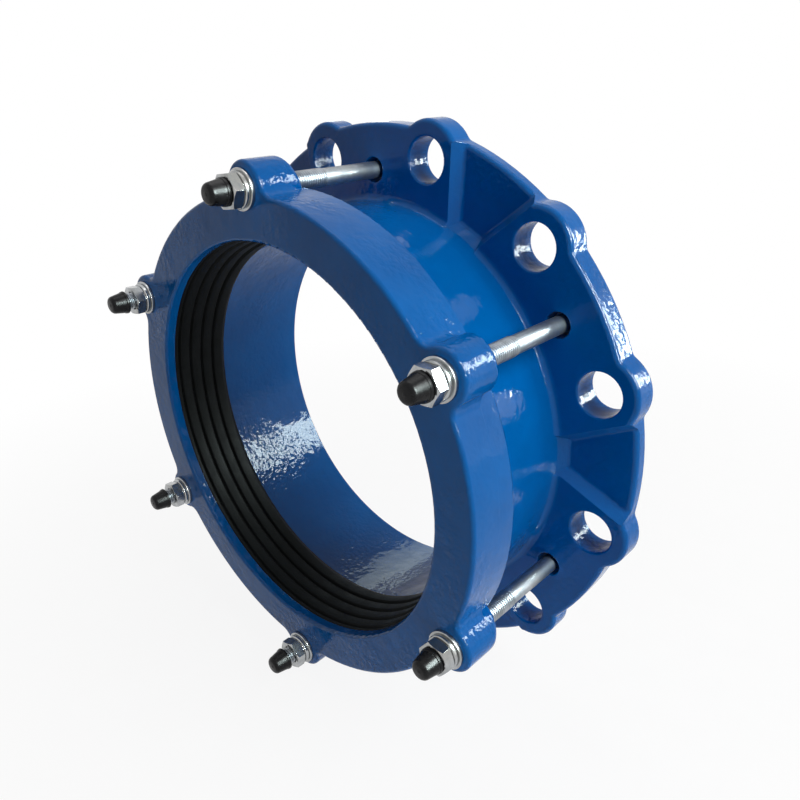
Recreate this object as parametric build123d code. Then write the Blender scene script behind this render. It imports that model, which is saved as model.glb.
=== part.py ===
# Wide-range flange adaptor for a DN250 pipe: a cast flange with a short bell, a loose end ring,
# a rubber gasket between them and six M12 tie bolts that draw the ring towards the flange.
#
# The parts are drawn with the pipe axis upright, the drilled face of the flange at height 0 and the end
# ring on top. They are then laid over, so that in the finished part the pipe axis runs along Y, the
# mating side looks along +Y, the end ring looks along -Y and +Z is up. The origin is the centre of the
# bolt circle on the drilled face; the raised sealing face stands proud of it on the +Y side.

from build123d import *
import math
import os

os.makedirs("parts", exist_ok=True)

# Flange: one hole size that takes the bolts of both the 350 mm and the 355 mm bolt circle
bolt_circle_d = 352.5
bolt_hole_d = 28.0
bolts_per_pad = 2
lobe_r = 24.0
rim_past_bolts = 16.75
rim_corner_r = 6.0
raised_face_inset = 16.25
raised_face_h = 3.0
plate_t = 10.5
pad_h = 7.5
pad_edge_r = 3.0
back_edge_r = 2.5
plate_edge_r = 3.0
hole_lip_r = 1.2

# Pockets between the pads, open at the rim, with sloping walls
pocket_from_bell = 4.5
pocket_inner_w = 18.4
pocket_spread = 24.7
pocket_slope = 33.0
pocket_floor_r = 3.0

# Bell: the short barrel behind the flange that holds the pipe end and seats the gasket
bell_wall_t = 9.0
bell_root_flare = 1.0
bell_neck_h = 12.0
bell_h = 66.0
bell_swell = 2.0
bell_swell_h = 40.0
bell_swell_round = 250.0
mouth_flare = 4.0
mouth_gap = 2.0
mouth_edge_r = 1.2
mouth_lip_t = 3.0
seat_depth = 12.0
seat_shelf = 2.5
bell_foot_r = 5.0
throat_edge = 1.5

# Tie bolts, washers and nuts: M12
tie_count = 6
tie_circle_inset = 12.25
thread_d = 11.8
shank_d = 10.8
bolt_length = 135.0
thread_length = 81.0
head_flats = 19.0
head_h = 7.5
head_bevel = 30.0
head_pocket_depth = 8.0
head_pocket_gap = 0.3
pad_tie_hole_d = 16.0
pad_tie_lip_r = 0.8
washer_d = 24.0
washer_hole_d = 13.0
washer_t = 2.5
nut_flats = 19.0
nut_h = 10.0
nut_bore_d = 12.4
nut_chamfer = 1.2
nut_seat_step = 0.2
bolt_tip_chamfer = 1.2

# End ring: a flat web in front, a rim that covers the gasket, and a lug round each tie bolt
ring_front_h = 103.7
ring_depth = 35.5
ring_inset = 2.0
ring_bore_step = 0.5
ring_web_t = 7.2
ring_rim_t = 10.0
ring_front_edge_r = 2.5
ring_back_edge_r = 2.0
ring_lip_r = 2.2
root_ledge = 0.1
lug_r = 16.0
lug_end_r = 4.0
lug_end_gap = 0.3
lug_back_slope = 18.0
lug_root_r = 9.0
lug_root_depth = 21.7
lug_hole_d = 14.0

# Gasket: stepped lips inside, a wedge outside that beds into the mouth of the bell
lip_reach = 5.2
lip_count = 4
lip_pitch = 9.0
lip_step = 1.2
groove_w = 2.0
groove_depth = 1.8
gasket_side_gap = 0.3
gasket_seat_gap = 0.2
gasket_nose_step = 2.5
gasket_shoulder = 8.0
gasket_lip_start = 57.7

# Protective caps pushed over the bolt ends
cap_grip_gap = 0.05
cap_base_d = 16.4
cap_end_d = 11.8
cap_roof = 3.4
cap_dome_r = 2.5
cap_nut_gap = 0.3
cap_pulled_off = 4.2
caps_pulled = (4, 5, 6)

# Radii that follow from the values above, from the bolt circle inwards, so that the pieces stay nested
bolt_circle_r = bolt_circle_d / 2
rim_r = bolt_circle_r + rim_past_bolts
raised_face_r = bolt_circle_r - raised_face_inset
tie_circle_r = bolt_circle_r - tie_circle_inset
ring_r = tie_circle_r - ring_inset
cavity_r = ring_r - ring_rim_t
mouth_r = cavity_r - mouth_gap
seat_mouth_r = mouth_r - mouth_lip_t
bell_swell_r = mouth_r - mouth_flare
bell_r = bell_swell_r - bell_swell
bell_root_r = bell_r + bell_root_flare
pocket_inner_r = bell_root_r + pocket_from_bell
bore_r = bell_r - bell_wall_t
seat_root_r = bore_r + seat_shelf
ring_bore_r = bore_r - ring_bore_step
lip_r = bore_r - lip_reach

# Heights that follow from the values above, measured from the drilled face
floor_z = plate_t
pad_z = floor_z + pad_h
mouth_z = pad_z + bell_h
ring_front_z = pad_z + ring_front_h
ring_back_z = ring_front_z - ring_depth
lug_root_z = ring_front_z - lug_root_depth
web_back_z = ring_front_z - ring_web_t
head_seat_z = head_pocket_depth
bolt_end_z = head_seat_z + bolt_length
washer_top_z = ring_front_z + washer_t
nut_top_z = washer_top_z + nut_h
overshoot = 1.0

# Angles: the tie bolts sit on the middle of the pads, with one straight down
tie_pitch = 360 / tie_count
tie_angles = [90 - i * tie_pitch for i in range(tie_count)]
bolt_pitch = tie_pitch / bolts_per_pad


def rod(radius, low, high):
    return Pos(0, 0, low) * Cylinder(radius, high - low, align=(Align.CENTER, Align.CENTER, Align.MIN))


def hex_bar(flats, low, high):
    section = RegularPolygon(flats / 2, 6, major_radius=False)
    return Pos(0, 0, low) * extrude(section, high - low)


def turned(points):
    """A solid turned about the pipe axis from (radius, height) corners, some with a rounding as well."""
    outline = make_face(Polyline(*[point[:2] for point in points], close=True))
    for point in points:
        if len(point) == 3:
            corner = outline.vertices().sort_by_distance(Vector(*point[:2]))[0]
            outline = fillet(corner, point[2])
    return revolve(Plane.XZ * outline, Axis.Z)


def flared_hole(radius, low, high, lip):
    """A hole cutter whose mouth at the high end opens out with a rounded lip."""
    wide = radius + lip + overshoot
    return turned([
        (0, low), (radius, low), (radius, high, lip), (wide, high),
        (wide, high + overshoot), (0, high + overshoot),
    ])


def bolt_offsets():
    """Angles of one pad's bolt holes, measured from its tie bolt."""
    middle = (bolts_per_pad - 1) / 2
    return [(i - middle) * bolt_pitch for i in range(bolts_per_pad)]


def flange_outline():
    """Plan of the whole flange: a disc with a lobe round every bolt hole."""
    plan = Circle(rim_r)
    for angle in tie_angles:
        for bolt_angle in bolt_offsets():
            turn = angle + bolt_angle
            plan += Rot(0, 0, turn) * Pos(bolt_circle_r, 0) * Rot(0, 0, 180) * Circle(lobe_r)
    corners = [v for v in plan.vertices() if abs(Vector(v.X, v.Y).length - rim_r) < 0.01]
    return fillet(corners, rim_corner_r)


def pocket_cutter(height):
    """One pocket about the +X direction: a flat floor, and walls that lean outwards as they rise."""
    outer_r = rim_r + 2 * lobe_r
    inner_w = pocket_inner_w / 2
    outer_w = inner_w + (outer_r - pocket_inner_r) * math.tan(math.radians(pocket_spread))
    near = [(pocket_inner_r, inner_w), (pocket_inner_r, -inner_w)]
    far = [(outer_r, -outer_w), (outer_r, outer_w)]
    floor = make_face(Polyline(*near, *far, close=True))
    return Pos(0, 0, floor_z) * extrude(floor, height, taper=-pocket_slope)


def level_edges(shape, height, low_r, high_r):
    """The edges that lie flat at a height and have their middle between two radii."""
    found = []
    for edge in shape.edges():
        middle = edge.position_at(0.5)
        flat = all(abs(edge.position_at(t).Z - height) < 0.01 for t in (0, 0.5, 1))
        if flat and low_r < Vector(middle.X, middle.Y).length < high_r:
            found.append(edge)
    return found


def make_plate():
    """The plate with its pads; the middle is left out, because the bell fills it."""
    plate = extrude(flange_outline(), pad_z)
    plate = fillet(plate.edges().group_by(Axis.Z)[-1], pad_edge_r)
    plate -= rod((bore_r + bell_r) / 2, 0, pad_z)
    pocket = pocket_cutter(pad_h + overshoot)
    plate -= [Rot(0, 0, angle + tie_pitch / 2) * pocket for angle in tie_angles]
    wall_r = rim_r - 2 * plate_edge_r
    plate = fillet(level_edges(plate, floor_z, wall_r, rim_r + overshoot), plate_edge_r)
    plate = fillet(level_edges(plate, floor_z, bell_r, wall_r), pocket_floor_r)
    return fillet(level_edges(plate, 0, wall_r, rim_r + lobe_r), back_edge_r)


def make_bell():
    """The raised face, the bell and its mouth, turned in one piece; the bore is cut to size later."""
    inner = bore_r - bell_foot_r / 2
    return turned([
        (inner, -raised_face_h), (raised_face_r, -raised_face_h), (raised_face_r, plate_t / 2),
        (bell_root_r, plate_t / 2), (bell_root_r, pad_z), (bell_r, pad_z + bell_neck_h, bell_neck_h),
        (bell_swell_r, pad_z + bell_swell_h, bell_swell_round), (mouth_r, mouth_z, mouth_edge_r),
        (seat_mouth_r, mouth_z), (seat_root_r, mouth_z - seat_depth),
        (inner, mouth_z - seat_depth - throat_edge),
    ])


def make_bell_foot():
    """The rounding between the pads and the bell, missing where the pockets are."""
    inner = bell_r - bell_foot_r
    outer = bell_root_r + 2 * bell_foot_r
    foot = turned([
        (inner, pad_z - overshoot), (outer, pad_z - overshoot), (outer, pad_z),
        (bell_root_r, pad_z, bell_foot_r), (bell_root_r - overshoot, pad_z + bell_foot_r + overshoot),
        (inner, pad_z + bell_foot_r + overshoot),
    ])
    pocket = pocket_cutter(pad_h + 3 * bell_foot_r)
    return foot - [Rot(0, 0, angle + tie_pitch / 2) * pocket for angle in tie_angles]


def make_flange_body():
    turns = [Rot(0, 0, angle) for angle in tie_angles]
    body = make_plate() + make_bell() + make_bell_foot()
    bolt_hole = flared_hole(bolt_hole_d / 2, -overshoot, pad_z, hole_lip_r)
    tie_hole = flared_hole(pad_tie_hole_d / 2, -overshoot, pad_z, pad_tie_lip_r)
    head_pocket = hex_bar(head_flats + 2 * head_pocket_gap, -raised_face_h - overshoot, head_seat_z)
    cutters = [rod(bore_r, -raised_face_h - overshoot, mouth_z)]
    for turn in turns:
        cutters += [turn * Pos(tie_circle_r, 0) * tie_hole, turn * Pos(tie_circle_r, 0) * head_pocket]
        cutters += [turn * Rot(0, 0, a) * Pos(bolt_circle_r, 0) * bolt_hole for a in bolt_offsets()]
    return body - cutters


def ring_outline():
    """Plan of the end ring: a disc with a rounded ear at every tie bolt."""
    plan = Rot(0, 0, tie_angles[0]) * Circle(ring_r)
    for angle in tie_angles:
        plan += Rot(0, 0, angle) * Pos(tie_circle_r, 0) * Rot(0, 0, 180) * Circle(lug_r)
    corners = [v for v in plan.vertices() if abs(Vector(v.X, v.Y).length - ring_r) < 0.01]
    return fillet(corners, lug_root_r)


def make_lug():
    """One lug as deep as the ring; its back end slopes forward towards the tip."""
    rise = math.tan(math.radians(lug_back_slope))
    end_z = ring_back_z + lug_end_gap
    low_z = ring_back_z - lug_r
    near_r = cavity_r - lug_r
    far_r = tie_circle_r + 2 * lug_r
    lug = Pos(tie_circle_r, 0) * rod(lug_r - root_ledge, low_z, web_back_z)
    lug -= turned([
        (near_r, low_z - lug_r), (far_r, low_z - lug_r),
        (far_r, end_z + (far_r - cavity_r) * rise), (near_r, end_z + (near_r - cavity_r) * rise),
    ])
    back = lug.faces().sort_by(Axis.Z)[0]
    return fillet(back.edges(), lug_end_r)


def make_end_ring():
    turns = [Rot(0, 0, angle) for angle in tie_angles]
    lug = make_lug()
    ring = rod(ring_r - root_ledge, ring_back_z, lug_root_z + overshoot)
    ring = fillet(ring.edges().group_by(Axis.Z)[0], ring_back_edge_r)
    front = Pos(0, 0, lug_root_z) * extrude(ring_outline(), lug_root_depth)
    front = fillet(front.edges().group_by(Axis.Z)[-1], ring_front_edge_r)
    ring = front + ring + [turn * lug for turn in turns]
    cavity = rod(cavity_r, ring_back_z - 2 * lug_r, web_back_z)
    bore = flared_hole(ring_bore_r, web_back_z - overshoot, ring_front_z, ring_lip_r)
    tie_hole = rod(lug_hole_d / 2, ring_back_z - lug_r, ring_front_z + overshoot)
    return ring - [cavity, bore] - [turn * Pos(tie_circle_r, 0) * tie_hole for turn in turns]


def make_gasket():
    """Stepped lips with grooves between them inside; a block in the ring and a wedge in the bell outside."""
    top = web_back_z
    outer_r = cavity_r - gasket_side_gap
    nose_z = mouth_z - seat_depth + gasket_seat_gap
    seat_back = seat_root_r - gasket_seat_gap
    points = []
    crest_z = pad_z + gasket_lip_start
    crest_r = lip_r
    for i in range(lip_count):
        crest_end = crest_z + lip_pitch - groove_w
        points += [(crest_r, crest_z), (crest_r, crest_end)]
        floor_r = crest_r + groove_depth + lip_step / 2
        points += [(floor_r, crest_end + groove_w / 4), (floor_r, crest_end + groove_w * 3 / 4)]
        crest_z += lip_pitch
        crest_r += lip_step
    points += [(crest_r, crest_z), (crest_r, top)]
    points += [(outer_r, top), (outer_r, mouth_z + gasket_shoulder)]
    points += [(seat_mouth_r - gasket_seat_gap, mouth_z + gasket_seat_gap)]
    points += [(seat_back, nose_z), (lip_r + gasket_nose_step, nose_z)]
    return turned(points)


def hex_corner(flats):
    return flats / 2 / math.cos(math.radians(30))


def make_tie_bolt():
    low_z = head_seat_z - head_h
    flat_r = head_flats / 2
    wide_r = hex_corner(head_flats) + overshoot
    head = hex_bar(head_flats, low_z, head_seat_z)
    crown = turned([
        (0, low_z), (flat_r, low_z), (wide_r, low_z + (wide_r - flat_r) * math.tan(math.radians(head_bevel))),
        (wide_r, head_seat_z), (0, head_seat_z),
    ])
    shank = rod(shank_d / 2, head_seat_z, bolt_end_z - thread_length)
    thread = rod(thread_d / 2, bolt_end_z - thread_length, bolt_end_z)
    thread = chamfer(thread.edges().group_by(Axis.Z)[-1], bolt_tip_chamfer)
    return (head & crown) + shank + thread


def make_washer():
    disc = rod(washer_d / 2, ring_front_z, washer_top_z)
    return disc - rod(washer_hole_d / 2, ring_front_z, washer_top_z)


def make_nut():
    flat_r = nut_flats / 2
    corner_r = hex_corner(nut_flats)
    body = hex_bar(nut_flats, washer_top_z, nut_top_z)
    chamfer_h = (corner_r - flat_r) * math.tan(math.radians(head_bevel)) + nut_seat_step
    crown = turned([
        (0, washer_top_z), (flat_r + nut_seat_step, washer_top_z), (corner_r, washer_top_z + chamfer_h),
        (corner_r, nut_top_z - nut_chamfer), (flat_r, nut_top_z), (0, nut_top_z),
    ])
    return (body & crown) - rod(nut_bore_d / 2, washer_top_z, nut_top_z)


def make_cap(pulled):
    """A tapered cap with a rounded end, bored to fit over the bolt's tip; it can sit a little off it."""
    bore = thread_d / 2 + cap_grip_gap
    base_z = nut_top_z + cap_nut_gap + pulled
    roof_z = bolt_end_z + pulled
    tip_z = roof_z + cap_roof
    return turned([
        (bore, base_z), (cap_base_d / 2, base_z), (cap_end_d / 2, tip_z, cap_dome_r), (0, tip_z),
        (0, roof_z), (bore - bolt_tip_chamfer, roof_z), (bore, roof_z - bolt_tip_chamfer),
    ])


def save(name, shape):
    laid_over = Rot(90, 0, 0) * shape
    export_step(laid_over.solid(), "parts/" + name + ".step")


save("flange_body", make_flange_body())
save("end_ring", make_end_ring())
save("gasket", make_gasket())
tie_bolt = make_tie_bolt()
washer = make_washer()
nut = make_nut()
for number, angle in enumerate(tie_angles, start=1):
    place = Rot(0, 0, angle) * Pos(tie_circle_r, 0)
    pulled = cap_pulled_off if number in caps_pulled else 0
    save(f"tie_bolt_{number}", place * tie_bolt)
    save(f"washer_{number}", place * washer)
    save(f"nut_{number}", place * nut)
    save(f"cap_{number}", place * make_cap(pulled))
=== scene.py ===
import bpy
import bmesh
import math
from mathutils import Matrix, Vector


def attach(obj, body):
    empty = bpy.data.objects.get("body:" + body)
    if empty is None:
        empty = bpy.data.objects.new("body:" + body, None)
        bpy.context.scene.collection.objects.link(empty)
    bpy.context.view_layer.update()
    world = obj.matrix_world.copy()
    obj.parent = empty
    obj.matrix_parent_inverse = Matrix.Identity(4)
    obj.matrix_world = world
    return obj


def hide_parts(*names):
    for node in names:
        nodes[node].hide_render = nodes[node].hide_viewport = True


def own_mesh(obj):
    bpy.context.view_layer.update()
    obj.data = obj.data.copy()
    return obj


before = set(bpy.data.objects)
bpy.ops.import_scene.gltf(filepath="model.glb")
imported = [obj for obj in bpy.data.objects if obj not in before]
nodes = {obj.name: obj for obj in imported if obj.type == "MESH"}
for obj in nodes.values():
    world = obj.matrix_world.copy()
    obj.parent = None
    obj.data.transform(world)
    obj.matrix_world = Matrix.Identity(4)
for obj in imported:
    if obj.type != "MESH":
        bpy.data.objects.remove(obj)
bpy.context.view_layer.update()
print("frame loaded:", len(nodes), "nodes")

mm = 0.001
mergeReach = 0.002 * mm    # points of a turned shape that are nearer than this become one

# places shared by the pieces: everything sits round the pipe axis, which is Y; the shapes
# below are in millimetres, as radii and as places along Y from the drilled face
layout = {
    "tieCircle": 164.0 * mm,
    "tieCount": 6,
    "topAngle": 90.0,         # first tie bolt, degrees in the XZ plane; the rest follow clockwise
    "pulledCaps": (4, 5, 6),  # caps that are pulled further off their nuts
}
tieNumbers = range(1, layout["tieCount"] + 1)


def tieAngle(number):
    return math.radians(layout["topAngle"] - (number - 1) * 360.0 / layout["tieCount"])


def tiePlace(number, turn=0.0):
    # from a piece drawn on the Y axis, with +X pointing away from the pipe, to its tie bolt
    angle = tieAngle(number)
    middle = Vector((math.cos(angle), 0, math.sin(angle))) * layout["tieCircle"]
    return Matrix.Translation(middle) @ Matrix.Rotation(-angle + math.radians(turn), 4, "Y")


# camera, fitted to the photograph; angles in degrees
cameraSetup = {
    "azimuth": 45.94,
    "elevation": 23.32,
    "roll": -3.60,
    "distance": 542.7 * mm,
    "target": (-9.1 * mm, -12.9 * mm, -10.5 * mm),
    "lens": 31.84,
    "sensor": 36.0,
    "shift": (0.0194, 0.0096),
    "nearest": 0.01,
}


def addCamera(setup):
    azimuth = math.radians(setup["azimuth"])
    elevation = math.radians(setup["elevation"])
    roll = math.radians(setup["roll"])
    back = Vector((
        math.sin(azimuth) * math.cos(elevation),
        -math.cos(azimuth) * math.cos(elevation),
        math.sin(elevation),
    ))
    level = Vector((math.cos(azimuth), math.sin(azimuth), 0))
    right = level * math.cos(roll) + back.cross(level) * math.sin(roll)
    up = back.cross(right)
    data = bpy.data.cameras.new("camera")
    data.lens = setup["lens"]
    data.sensor_width = setup["sensor"]
    data.shift_x, data.shift_y = setup["shift"]
    data.clip_start = setup["nearest"]
    camera = bpy.data.objects.new("camera", data)
    turn = Matrix((right, up, back)).transposed().to_4x4()
    place = Vector(setup["target"]) + back * setup["distance"]
    camera.matrix_world = Matrix.Translation(place) @ turn
    bpy.context.collection.objects.link(camera)
    bpy.context.scene.camera = camera


addCamera(cameraSetup)
print("camera placed")


# shader sums are written as Python expressions on this
class Wire:
    def __init__(self, paint, socket):
        self.paint = paint
        self.socket = socket

    def sum(self, operation, first, second):
        return self.paint.node("ShaderNodeMath", {"operation": operation}, {0: first, 1: second})

    def __add__(self, other):
        return self.sum("ADD", self, other)

    def __radd__(self, other):
        return self.sum("ADD", other, self)

    def __sub__(self, other):
        return self.sum("SUBTRACT", self, other)

    def __rsub__(self, other):
        return self.sum("SUBTRACT", other, self)

    def __mul__(self, other):
        return self.sum("MULTIPLY", self, other)

    def __rmul__(self, other):
        return self.sum("MULTIPLY", other, self)


class Paint:
    def __init__(self, name, world=False):
        self.owner = bpy.data.worlds.new(name) if world else bpy.data.materials.new(name)
        self.owner.use_nodes = True
        self.tree = self.owner.node_tree
        self.tree.nodes.clear()

    def node(self, kind, settings=None, sockets=None, out=0):
        made = self.tree.nodes.new(kind)
        for key, value in (settings or {}).items():
            if key == "stops":
                for element, (position, level) in zip(made.color_ramp.elements, value):
                    element.position = position
                    element.color = (level, level, level, 1)
            else:
                setattr(made, key, value)
        for key, value in (sockets or {}).items():
            if isinstance(value, Wire):
                self.tree.links.new(value.socket, made.inputs[key])
            elif isinstance(value, tuple):
                made.inputs[key].default_value = (*value, 1)    # a colour and its alpha
            else:
                made.inputs[key].default_value = value
        return Wire(self, made.outputs[out]) if len(made.outputs) else None

    def place(self):
        return self.node("ShaderNodeTexCoord", out="Object")

    # a pattern is its bumps per metre, its octaves and how rough they are
    def noise(self, pattern, where):
        scale, detail, rough = pattern
        sockets = {"Vector": where, "Scale": scale, "Detail": detail, "Roughness": rough}
        return self.node("ShaderNodeTexNoise", None, sockets)

    # two stops, each a position and a level
    def ramp(self, value, stops):
        return self.node("ShaderNodeValToRGB", {"stops": stops}, {0: value})

    def mix(self, share, first, second):
        return self.node("ShaderNodeMix", {"data_type": "RGBA"}, {0: share, 6: first, 7: second}, 2)

    # a rounding smooths the edges of the mesh in the shading
    def bump(self, height, distance, rounding=None):
        sockets = {"Height": height, "Distance": distance, "Strength": 1.0}
        if rounding:
            sockets["Normal"] = self.node("ShaderNodeBevel", {"samples": 6}, {"Radius": rounding})
        return self.node("ShaderNodeBump", None, sockets)

    def surface(self, **sockets):
        names = {key.replace("_", " "): value for key, value in sockets.items()}
        shader = self.node("ShaderNodeBsdfPrincipled", None, names)
        self.node("ShaderNodeOutputMaterial", None, {"Surface": shader})
        return self.owner


# blue coating on the castings
coating = {
    "deep": (0.0, 0.092, 0.330),
    "fresh": (0.0, 0.121, 0.415),
    "cloud": (14.0, 4.0, 0.6),           # mixes the two blues
    "cloudStops": ((0.32, 0.0), (0.68, 1.0)),
    "roughness": 0.10,
    "grain": (38.0, 3.0, 0.55),
    "grainShare": 0.12,                  # what that grain adds to the roughness
    "ior": 1.5,
    "shine": 0.13,
    "swell": (90.0, 2.0, 0.5),           # long waves of the relief
    "swellShare": 0.45,
    "peel": (300.0, 1.5, 0.45),          # short waves of the relief
    "peelShare": 0.55,
    "zone": (24.0, 1.0, 0.5),            # where the casting is smooth and where it is rough
    "zoneStops": ((0.46, 0.15), (0.66, 1.0)),
    "middle": 0.36,
    "depth": 1.0 * mm,
    "edge": 0.6 * mm,
    "calmReach": 4.0 * mm,               # the stops below span this, up to the drilled face
    "calmStops": ((0.55, 1.0), (0.95, 0.3)),  # share of the relief left; 0.3 on the turned side
}


def makeCoating(look):
    paint = Paint("blueCoating")
    place = paint.place()
    peel = paint.noise(look["peel"], place)
    swell = paint.noise(look["swell"], place)
    grain = paint.noise(look["grain"], place)
    zone = paint.ramp(paint.noise(look["zone"], place), look["zoneStops"])
    along = paint.node("ShaderNodeSeparateXYZ", None, {"Vector": place}, out="Y")
    calm = paint.ramp(along * (1.0 / look["calmReach"]) + 1.0, look["calmStops"])
    relief = swell * look["swellShare"] + peel * zone * look["peelShare"] - look["middle"]
    share = paint.ramp(paint.noise(look["cloud"], place), look["cloudStops"])
    return paint.surface(
        Base_Color=paint.mix(share, look["deep"], look["fresh"]),
        Roughness=look["roughness"] + (grain - 0.5) * look["grainShare"],
        IOR=look["ior"], Specular_IOR_Level=look["shine"],
        Normal=paint.bump(relief * calm, look["depth"], look["edge"]),
    )


# zinc plating; that of the bolts is more blotched and bluer, its blue a painted reflection of the
# blue casting
nutZinc = {
    "bright": (0.42, 0.43, 0.44),
    "dull": (0.24, 0.255, 0.265),
    "warm": (0.38, 0.365, 0.33),
    "roughness": 0.20,
    "depth": 0.012 * mm,
}
# the blue in the bolts' zinc colours is a painted reflection of the blue casting
boltZincPaintedReflection = {
    "bright": (0.38, 0.405, 0.44),
    "dull": (0.17, 0.19, 0.215),
    "warm": (0.35, 0.35, 0.34),
    "roughness": 0.35,
    "depth": 0.03 * mm,
}
zincPattern = {
    "tint": (60.0, 2.0, 0.5),
    "tintStops": ((0.45, 0.0), (0.75, 1.0)),
    "blotch": (120.0, 3.0, 0.6),
    "blotchStops": ((0.35, 0.0), (0.75, 1.0)),
    "blotchShare": 0.3,                  # what the blotches add to the roughness
    "fine": (1400.0, 2.0, 0.5),
    "edge": 0.25 * mm,
}


def makeZinc(name, look, pattern):
    paint = Paint(name)
    place = paint.place()
    blotch = paint.noise(pattern["blotch"], place)
    fine = paint.noise(pattern["fine"], place)
    warmth = paint.ramp(paint.noise(pattern["tint"], place), pattern["tintStops"])
    tint = paint.mix(warmth, look["bright"], look["warm"])
    return paint.surface(
        Base_Color=paint.mix(paint.ramp(blotch, pattern["blotchStops"]), tint, look["dull"]),
        Metallic=1.0,
        Roughness=look["roughness"] + (blotch - 0.5) * pattern["blotchShare"],
        Normal=paint.bump(fine, look["depth"], pattern["edge"]),
    )


# the two blacks: the gasket's dusty rubber and the worn plastic of the caps
rubber = {
    "black": (0.004, 0.005, 0.005),
    "worn": (0.009, 0.010, 0.011),
    "wear": (55.0, 5.0, 0.65),
    "wearStops": ((0.42, 0.0), (0.74, 1.0)),
    "roughness": 0.48,
    "wornRoughness": 0.25,               # added where it is worn
    "shine": 0.07,
    "skin": (900.0, 3.0, 0.6),
    "depth": 0.12 * mm,
}
capPlastic = {
    "black": (0.007, 0.007, 0.008),
    "worn": (0.016, 0.016, 0.017),
    "wear": (160.0, 4.0, 0.6),
    "wearStops": ((0.5, 0.0), (0.8, 1.0)),
    "roughness": 0.26,
    "wornRoughness": 0.2,
    "shine": 0.15,
    "skin": (1500.0, 2.0, 0.5),
    "depth": 0.05 * mm,
}


def makeBlack(name, look):
    paint = Paint(name)
    place = paint.place()
    share = paint.ramp(paint.noise(look["wear"], place), look["wearStops"])
    return paint.surface(
        Base_Color=paint.mix(share, look["black"], look["worn"]),
        Roughness=look["roughness"] + share * look["wornRoughness"],
        Specular_IOR_Level=look["shine"],
        Normal=paint.bump(paint.noise(look["skin"], place), look["depth"]),
    )


blueCoating = makeCoating(coating)
zincNut = makeZinc("zincNut", nutZinc, zincPattern)
zincBoltPaintedReflection = makeZinc("zincBoltPaintedReflection", boltZincPaintedReflection, zincPattern)
blackRubber = makeBlack("blackRubber", rubber)
blackCap = makeBlack("blackCap", capPlastic)
print("finishes made")

# the castings keep their CAD meshes and take the coating
for name in ("flange_body", "end_ring"):
    for materialSlot in nodes[name].material_slots:
        materialSlot.material = blueCoating
print("castings coated")


# edges that turn by more than sharp, in degrees, stay sharp in the shading
def addPiece(name, bm, material, body, stands, sharp=38.0):
    bmesh.ops.recalc_face_normals(bm, faces=bm.faces[:])
    for face in bm.faces:
        face.smooth = True
    for edge in bm.edges:
        edge.smooth = len(edge.link_faces) != 2 or edge.calc_face_angle() < math.radians(sharp)
    mesh = bpy.data.meshes.new(name)
    bm.to_mesh(mesh)
    bm.free()
    mesh.materials.append(material)
    piece = bpy.data.objects.new(name, mesh)
    bpy.context.collection.objects.link(piece)
    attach(piece, body)
    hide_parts(stands)
    return piece


def startProfile(bm, points):
    # corners of an open outline: radius, place along Y and, where it is rounded, the rounding
    corners = [bm.verts.new((p[0] * mm, p[1] * mm, 0)) for p in points]
    for first, second in zip(corners, corners[1:]):
        bm.edges.new((first, second))
    for corner, point in zip(corners, points):
        if len(point) > 2:
            bmesh.ops.bevel(bm, geom=[corner], offset=point[2] * mm, offset_type="OFFSET",
                            segments=4, profile=0.5, affect="VERTICES", material=-1)


def closeProfile(bm):
    ends = [v for v in bm.verts if len(v.link_edges) == 1]
    bm.edges.new(ends)


def turnProfile(bm, steps):
    bmesh.ops.spin(bm, geom=bm.verts[:] + bm.edges[:], cent=(0, 0, 0), axis=(0, 1, 0),
                   angle=math.tau, steps=steps, use_merge=True)
    bmesh.ops.remove_doubles(bm, verts=bm.verts[:], dist=mergeReach)


# gasket: stepped lips inside, a block in the ring and a wedge in the bell outside
gasketShape = {
    "lipRadius": 129.8,
    "lipStart": -75.7,
    "lipPitch": 9.0,
    "lipStep": 1.2,
    "lipDraft": 0.1,
    "lipCount": 4,
    "grooveWidth": 2.0,
    "grooveDepth": 2.4,
    "grooveFloor": (0.5, 1.4),           # ends of its floor, from the end of the lip
    "round": 0.45,
    "front": -114.5,
    "frontRound": 0.8,
    "outerRadius": 151.7,
    "shoulder": -92.0,
    "seatMouth": (146.8, -84.2),
    "nose": (137.3, -72.2),
    "noseRadius": 132.3,
    "outerRounds": (1.5, 1.2, 1.0, 1.0),  # at the front, the shoulder, the seat and the nose
    "steps": 240,
    "sharp": 60.0,
    "squeezed": 34.3 / 42.3,             # length left when the end ring has come up
}


def makeGasket(look):
    soft = look["round"]
    y = look["lipStart"]
    r = look["lipRadius"]
    points = [(look["noseRadius"], look["nose"][1], soft)]
    for lip in range(look["lipCount"]):
        lipEnd = y - look["lipPitch"] + look["grooveWidth"]
        points += [(r, y, soft), (r + look["lipDraft"], lipEnd, soft)]
        points += [(r + look["grooveDepth"], lipEnd - along, soft) for along in look["grooveFloor"]]
        y -= look["lipPitch"]
        r += look["lipStep"]
    points += [(r, y, soft), (r, look["front"], look["frontRound"])]
    outside = [(look["outerRadius"], look["front"]), (look["outerRadius"], look["shoulder"]),
               look["seatMouth"], look["nose"]]
    points += [(*corner, soft) for corner, soft in zip(outside, look["outerRounds"])]
    bm = bmesh.new()
    startProfile(bm, points)
    closeProfile(bm)
    turnProfile(bm, look["steps"])
    piece = addPiece("sealRing", bm, blackRubber, "flange", "gasket", look["sharp"])
    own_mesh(piece)


makeGasket(gasketShape)
print("gasket made")


halfSide = math.radians(30)       # half the angle that one flat of a hexagon takes up
chamferAngle = math.radians(30)


# how far a hexagon's outline is from its middle; a corner points along +X
def hexReach(angle, flats):
    off = (angle + halfSide) % (2 * halfSide) - halfSide
    return flats / 2 / math.cos(halfSide - abs(off))


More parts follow.
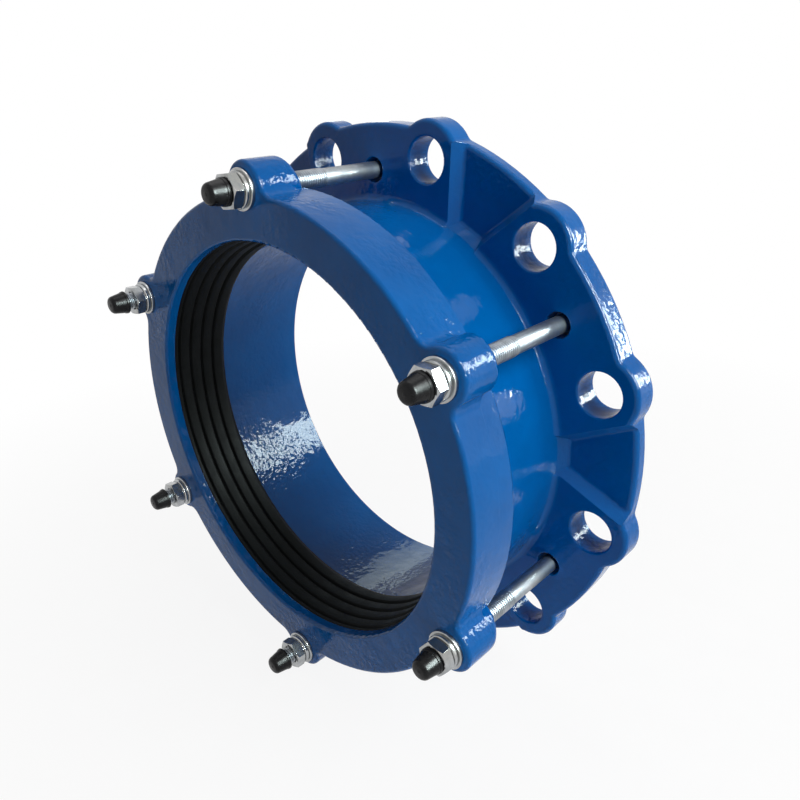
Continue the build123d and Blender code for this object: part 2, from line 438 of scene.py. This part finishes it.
# hexagons with a turned chamfer: rings of points, moved in or out to the hexagon; each ring is
# "hex" or "round", its width across flats or radius, its place along Y and its chamfer's way
def hexRings(bm, rings, segments):
    loops = []
    made = bmesh.ops.create_circle(bm, segments=segments, radius=1.0, cap_ends=False)
    upright = Matrix.Rotation(math.pi / 2, 3, "X")
    bmesh.ops.rotate(bm, verts=made["verts"], cent=(0, 0, 0), matrix=upright)
    verts = made["verts"]
    edges = list({edge for v in verts for edge in v.link_edges})
    for index, (kind, size, y, chamfer) in enumerate(rings):
        if index:
            grown = bmesh.ops.extrude_edge_only(bm, edges=edges)["geom"]
            edges = [item for item in grown if isinstance(item, bmesh.types.BMEdge)]
            verts = [item for item in grown if isinstance(item, bmesh.types.BMVert)]
        for v in verts:
            angle = math.atan2(v.co.z, v.co.x)
            reach = size
            depth = 0.0
            if kind == "hex":
                reach = hexReach(angle, size)
                depth = max(0.0, reach - size / 2) * math.tan(chamferAngle) * chamfer
            v.co = Vector((math.cos(angle) * reach, y + depth, math.sin(angle) * reach)) * mm
        loops.append(edges)
    return loops


nutShape = {
    "flats": 19.0,
    "bore": 6.2,
    "height": 10.0,
    "base": -124.2,
    "sink": 0.9,                         # countersink of the bore
    # round foot behind the hexagon: radius, height over the base
    "foot": [(10.3, 0.0), (10.6, 0.3), (10.6, 2.0), (10.2, 2.6), (9.2, 2.85), (9.2, 3.1)],
    "faceEdge": 0.1,                     # the flat face ends this far inside the flats
    "segments": 96,
    "sharp": 25.0,
    "turns": (26.0, 32.0, 40.0, 14.0, 16.0, 26.0),  # how each nut happens to stand, degrees
}


def makeNut(number, look):
    low, high, flats = look["base"], look["base"] - look["height"], look["flats"]
    inner, sink = look["bore"], look["sink"]
    footEnd = low - look["foot"][-1][1]
    rings = [("round", inner + sink, low, 0)]
    rings += [("round", radius, low - height, 0) for radius, height in look["foot"]]
    rings += [
        ("hex", flats, footEnd, -1), ("hex", flats, high, 1),
        ("round", flats / 2 - look["faceEdge"], high, 0), ("round", inner + sink, high, 0),
        ("round", inner, high + sink, 0), ("round", inner, low - sink, 0),
    ]
    bm = bmesh.new()
    loops = hexRings(bm, rings, look["segments"])
    bmesh.ops.bridge_loops(bm, edges=loops[0] + loops[-1])
    turned = tiePlace(number, look["turns"][number - 1])
    bmesh.ops.transform(bm, matrix=turned, verts=bm.verts[:])
    addPiece(f"hexNut{number}", bm, zincNut, f"nut_{number}",
             f"nut_{number}", look["sharp"])


for number in tieNumbers:
    makeNut(number, nutShape)
print("nuts made")

washerShape = {
    "inner": 6.5,
    "outer": 12.0,
    "base": -121.7,
    "thickness": 2.5,
    "burr": 0.2,                         # rounding of the side on the lug
    "round": 0.5,
    "steps": 72,
}


def makeWasher(number, look):
    low, high = look["base"], look["base"] - look["thickness"]
    bm = bmesh.new()
    startProfile(bm, [
        (look["inner"], low, look["burr"]), (look["outer"], low, look["burr"]),
        (look["outer"], high, look["round"]), (look["inner"], high, look["round"]),
    ])
    closeProfile(bm)
    turnProfile(bm, look["steps"])
    bmesh.ops.transform(bm, matrix=tiePlace(number), verts=bm.verts[:])
    addPiece(f"flatWasher{number}", bm, zincNut, "end_ring", f"washer_{number}")


for number in tieNumbers:
    makeWasher(number, washerShape)
print("washers made")

# tie bolts: hexagon head in the flange, plain shank, then a rolled M12 thread
boltShape = {
    "flats": 19.0,
    "headSeat": -8.0,
    "headHeight": 7.5,
    "headEdge": 0.2,                     # the chamfers start this far inside the flats
    "headFoot": [(0.3, 0.1), (0.0, 0.4)],  # rounding at the seat: inside the flats, along Y
    "dish": (2.0, 2.4, 0.3),             # hollow in the head: rim and floor from the flats, depth
    "headSegments": 96,
    "shank": 5.4,
    "shankSteps": 32,
    "threadStart": -62.0,
    "threadEnd": -143.0,
    "crest": 5.88,
    "root": 5.0,
    "pitch": 1.75,
    "flanks": (0.10, 0.43, 0.57, 0.90),  # shares of the pitch where the two flanks start and end
    "runOut": 3.0,                       # travel along the bolt for 1 mm of rise
    "sunk": 0.15,                        # the run-out starts this far inside the shank
    "tipChamfer": 1.2,
    "stepsPerTurn": 24,
    "mergeTurns": 0.02,                  # one turn's last row meets the next one's first
    "cutReach": 0.0005,                  # points this near an end's plane count as on it
    "overlap": 1.0,                      # shank in the head, and half of it in the thread
    "shankRound": 0.4,
    "sharp": 30.0,
}


def makeThread(look):
    bm = bmesh.new()
    pitch, root, crest = look["pitch"], look["root"], look["crest"]
    begin, end = look["threadStart"], look["threadEnd"]
    turns = math.ceil((begin - end) / pitch) + 2
    rise, top, fall, foot = look["flanks"]
    outline = [(root, 0.0), (root, rise), (crest, top), (crest, fall), (root, foot), (root, 1.0)]
    row = [bm.verts.new((r * mm, (end - pitch + share * pitch) * mm, 0)) for r, share in outline]
    for first, second in zip(row, row[1:]):
        bm.edges.new((first, second))
    climb = pitch * mm / look["stepsPerTurn"]
    bmesh.ops.spin(bm, geom=bm.verts[:] + bm.edges[:], cent=(0, 0, 0), axis=(0, 1, 0),
                   dvec=(0, climb, 0), angle=math.tau * turns,
                   steps=turns * look["stepsPerTurn"], use_merge=False)
    bmesh.ops.remove_doubles(bm, verts=bm.verts[:], dist=look["mergeTurns"] * mm)
    for y, way in ((end, -1), (begin, 1)):
        bmesh.ops.bisect_plane(bm, geom=bm.verts[:] + bm.edges[:] + bm.faces[:],
                               dist=look["cutReach"] * mm, plane_co=(0, y * mm, 0),
                               plane_no=(0, way, 0), clear_outer=True)
    bmesh.ops.holes_fill(bm, edges=[edge for edge in bm.edges if edge.is_boundary], sides=0)
    # the crests come down to the chamfered tip and to the shank
    for v in bm.verts:
        y = v.co.y / mm
        reach = math.hypot(v.co.x, v.co.z) / mm
        limit = min(crest, crest - (look["tipChamfer"] - (y - end)),
                    look["shank"] - look["sunk"] + (begin - y) / look["runOut"])
        if reach > limit:
            v.co.x *= limit / reach
            v.co.z *= limit / reach
    return bm


def makeShank(look):
    bm = bmesh.new()
    head, thread = look["headSeat"] + look["overlap"], look["threadStart"] - look["overlap"] / 2
    startProfile(bm, [
        (0, head), (look["shank"], head),
        (look["shank"], thread, look["shankRound"]), (0, thread),
    ])
    turnProfile(bm, look["shankSteps"])
    return bm


def makeHead(look):
    bm = bmesh.new()
    flats, seat = look["flats"], look["headSeat"]
    top = seat + look["headHeight"]
    edge = flats / 2 - look["headEdge"]
    rim, floor, depth = look["dish"]
    rings = [("round", edge, seat, 0)]
    rings += [("hex", flats - inside, seat + along, 0) for inside, along in look["headFoot"]]
    rings += [
        ("hex", flats, top, -1), ("round", edge, top, 0),
        ("round", flats / 2 - rim, top, 0), ("round", flats / 2 - floor, top - depth, 0),
    ]
    loops = hexRings(bm, rings, look["headSegments"])
    for loop in (loops[0], loops[-1]):
        bmesh.ops.holes_fill(bm, edges=loop, sides=0)
    return bm


def makeBolt(look):
    bm = makeThread(look)
    for part in (makeShank(look), makeHead(look)):
        bmesh.ops.recalc_face_normals(part, faces=part.faces[:])
        made = bpy.data.meshes.new("part")
        part.to_mesh(made)
        part.free()
        bm.from_mesh(made)
        bpy.data.meshes.remove(made)
    return bm


plainBolt = makeBolt(boltShape)
for number in tieNumbers:
    bolt = plainBolt.copy()
    bmesh.ops.transform(bolt, matrix=tiePlace(number), verts=bolt.verts[:])
    addPiece(f"tieBolt{number}", bolt, zincBoltPaintedReflection, "flange",
             f"tie_bolt_{number}", boltShape["sharp"])
plainBolt.free()
print("tie bolts made")

capShape = {
    "base": -134.5,
    "roof": -143.0,
    "tip": -146.4,
    "bore": 5.95,
    "boltTip": 1.2,                      # the bore ends round the bolt's chamfer
    "mouthRound": 0.25,
    # collar and foot of the body: radius, place from the base, rounding
    "collar": [(8.2, 0.0, 0.4), (7.85, -1.8, 0.2), (7.5, -2.0, 0.1)],
    # dome and its small tip: radius, place from the end, rounding
    "dome": [(5.9, 0.35, 2.2), (1.1, 0.2, 0.15), (0.95, 0.0, 0.15)],
    "pulled": 4.2,                       # how much further off some caps are
    "steps": 64,
}


def makeCap(number, look):
    off = look["pulled"] if number in layout["pulledCaps"] else 0.0
    base, roof, tip = look["base"] - off, look["roof"] - off, look["tip"] - off
    bore, boltTip = look["bore"], look["boltTip"]
    points = [(0, roof), (bore - boltTip, roof), (bore, roof + boltTip)]
    points += [(bore, base, look["mouthRound"])]
    points += [(radius, base + along, soft) for radius, along, soft in look["collar"]]
    points += [(radius, tip + along, soft) for radius, along, soft in look["dome"]]
    points += [(0, tip)]
    bm = bmesh.new()
    startProfile(bm, points)
    turnProfile(bm, look["steps"])
    bmesh.ops.transform(bm, matrix=tiePlace(number), verts=bm.verts[:])
    addPiece(f"boltCap{number}", bm, blackCap, "flange", f"cap_{number}")


for number in tieNumbers:
    makeCap(number, capShape)
print("caps made")

# floor, world and lamps, in metres
studio = {
    "floorHeight": -194.5 * mm,
    "floorRadius": 4.0,
    "floorSegments": 96,
    "floorColours": ((0.70, 0.70, 0.70), (0.88, 0.88, 0.88)),
    "floorGrain": (40.0, 2.0, 0.5),
    "floorRoughness": 0.85,
    "floorWhite": ((0.3, 0.90), (0.8, 1.0)),  # metres from the middle, share of plain white there
    "skyStrength": 0.10,
    "glintColour": (0.84, 1.0, 0.98),
    "lookAt": (0, -0.06, 0),
    # place, size and watts of each lamp; a glint lamp is seen in reflections only
    "lamps": [
        ("rightSoft", (0.95, 0.0, 0.72), (0.7, 0.7), 10.6, "soft"),
        ("topSoft", (-0.10, 0.12, 1.3), (0.8, 0.6), 3.2, "soft"),
        ("rearSoft", (0.90, 0.80, 0.14), (1.0, 0.7), 2.0, "soft"),
        ("rightStrip", (0.97, -0.09, 0.46), (0.12, 0.60), 36.0, "glint"),
        ("rearWindow", (0.83, 0.63, 0.46), (0.24, 0.38), 14.5, "glint"),
        ("rearStrip", (0.724, 0.849, 0.229), (0.10, 0.34), 6.5, "glint"),
        ("rearPale", (-0.365, 0.28, 0.123), (0.13, 0.20), 0.28, "glint"),
    ],
}
white = (1.0, 1.0, 1.0)


# 1 where the eye, a reflection or clear material sees the surface, 0 where it only gives light
def backgroundShare(paint):
    eye, glossy, clear = [paint.node("ShaderNodeLightPath", out=name)
                          for name in ("Is Camera Ray", "Is Glossy Ray", "Is Transmission Ray")]
    return eye.sum("MAXIMUM", eye, eye.sum("MAXIMUM", glossy, clear))


def makeWorld(setup):
    paint = Paint("studioWorld", world=True)
    share = backgroundShare(paint)
    strength = setup["skyStrength"] + share * (1.0 - setup["skyStrength"])
    sky = paint.node("ShaderNodeBackground", None, {"Color": white, "Strength": strength})
    paint.node("ShaderNodeOutputWorld", None, {"Surface": sky})
    bpy.context.scene.world = paint.owner


def makeFloor(setup):
    bm = bmesh.new()
    bmesh.ops.create_circle(bm, segments=setup["floorSegments"], radius=setup["floorRadius"],
                            cap_ends=True)
    bmesh.ops.translate(bm, verts=bm.verts[:], vec=(0, 0, setup["floorHeight"]))
    mesh = bpy.data.meshes.new("floor")
    bm.to_mesh(mesh)
    bm.free()
    paint = Paint("paleFloor")
    place = paint.place()
    away = paint.node("ShaderNodeVectorMath", {"operation": "LENGTH"}, {0: place}, out="Value")
    share = paint.ramp(away, setup["floorWhite"]) * backgroundShare(paint)
    matt = paint.node("ShaderNodeBsdfPrincipled", None, {
        "Base Color": paint.mix(paint.noise(setup["floorGrain"], place), *setup["floorColours"]),
        "Roughness": setup["floorRoughness"],
    })
    glow = paint.node("ShaderNodeEmission", None, {"Color": white, "Strength": 1.0})
    both = paint.node("ShaderNodeMixShader", None, {0: share, 1: matt, 2: glow})
    paint.node("ShaderNodeOutputMaterial", None, {"Surface": both})
    mesh.materials.append(paint.owner)
    floor = bpy.data.objects.new("floor", mesh)
    bpy.context.collection.objects.link(floor)


def makeLamps(setup):
    for name, place, size, power, kind in setup["lamps"]:
        data = bpy.data.lights.new(name, "AREA")
        data.shape = "RECTANGLE"
        data.size, data.size_y = size
        data.energy = power
        lamp = bpy.data.objects.new(name, data)
        lamp.location = place
        aim = Vector(setup["lookAt"]) - Vector(place)
        lamp.rotation_euler = aim.to_track_quat("-Z", "Y").to_euler()
        if kind == "glint":
            data.color = setup["glintColour"]
            lamp.visible_diffuse = False
            lamp.visible_camera = False
        bpy.context.collection.objects.link(lamp)


makeWorld(studio)
makeFloor(studio)
makeLamps(studio)
bpy.context.scene.view_settings.view_transform = "Standard"
print("studio made")
